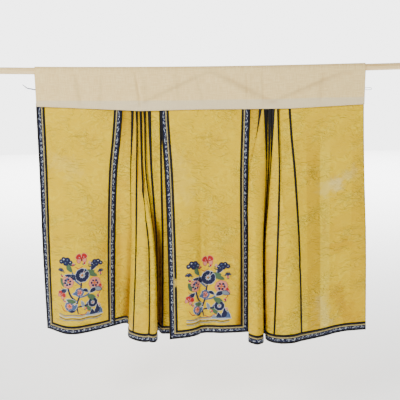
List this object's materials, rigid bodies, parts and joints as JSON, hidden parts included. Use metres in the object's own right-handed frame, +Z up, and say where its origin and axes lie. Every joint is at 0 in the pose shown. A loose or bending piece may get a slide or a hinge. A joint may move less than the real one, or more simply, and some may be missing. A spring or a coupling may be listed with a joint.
{
  "type": "pleated wrap skirt hanging on a wooden rod",
  "caption": "Pleated wrap skirt with framed flat panels and a deep folded waistband, hanging flat from a straight wooden rod.",
  "frame": {"origin": "middle of the rod, at mid length and mid thickness, where the rod is held", "axes": "+X along the rod to the viewer's right, +Z up, the front of the skirt faces -Y"},
  "size_m": [1.5, 0.2315, 0.9569],
  "materials": {
    "silk": "yellow silk damask with a soft sheen",
    "waistband_cotton": "slubby undyed cotton",
    "black_satin": "black satin bias",
    "woven_ribbon": "navy and pale blue woven ribbon",
    "gold_braid": "pale gold braid",
    "pine": "pale sanded wood",
    "tie_cord": "blue-grey twisted cord"
  },
  "bodies": {
    "root": {"rod": "pine", "waistband": "waistband_cotton", "left_panel": "silk", "middle_panel": "silk", "left_gore_1": "silk", "left_gore_2": "silk", "left_gore_3": "silk", "left_gore_4": "silk", "left_gore_5": "silk", "left_gore_6": "silk", "right_gore_1": "silk", "right_gore_2": "silk", "right_gore_3": "silk", "right_gore_4": "silk", "right_gore_5": "silk", "right_gore_6": "silk", "left_inner_panel": "silk", "right_inner_panel": "silk", "left_panel_binding": "black_satin", "left_panel_ribbon": "woven_ribbon", "left_panel_braid": "gold_braid", "left_panel_cord_edge": "black_satin", "middle_panel_binding": "black_satin", "middle_panel_ribbon": "woven_ribbon", "middle_panel_braid": "gold_braid", "middle_panel_cord_edge": "black_satin", "left_hem_binding": "black_satin", "left_hem_ribbon": "woven_ribbon", "left_hem_braid": "gold_braid", "left_hem_cord_edge": "black_satin", "right_hem_binding": "black_satin", "right_hem_ribbon": "woven_ribbon", "right_hem_braid": "gold_braid", "right_hem_cord_edge": "black_satin", "left_piping_1": "black_satin", "left_piping_2": "black_satin", "left_piping_3": "black_satin", "left_piping_4": "black_satin", "left_piping_5": "black_satin", "left_piping_6": "black_satin", "right_piping_1": "black_satin", "right_piping_2": "black_satin", "right_piping_3": "black_satin", "right_piping_4": "black_satin", "right_piping_5": "black_satin", "right_piping_6": "black_satin", "tie_left": "tie_cord", "loop_right": "tie_cord"}
  },
  "joints": []
}
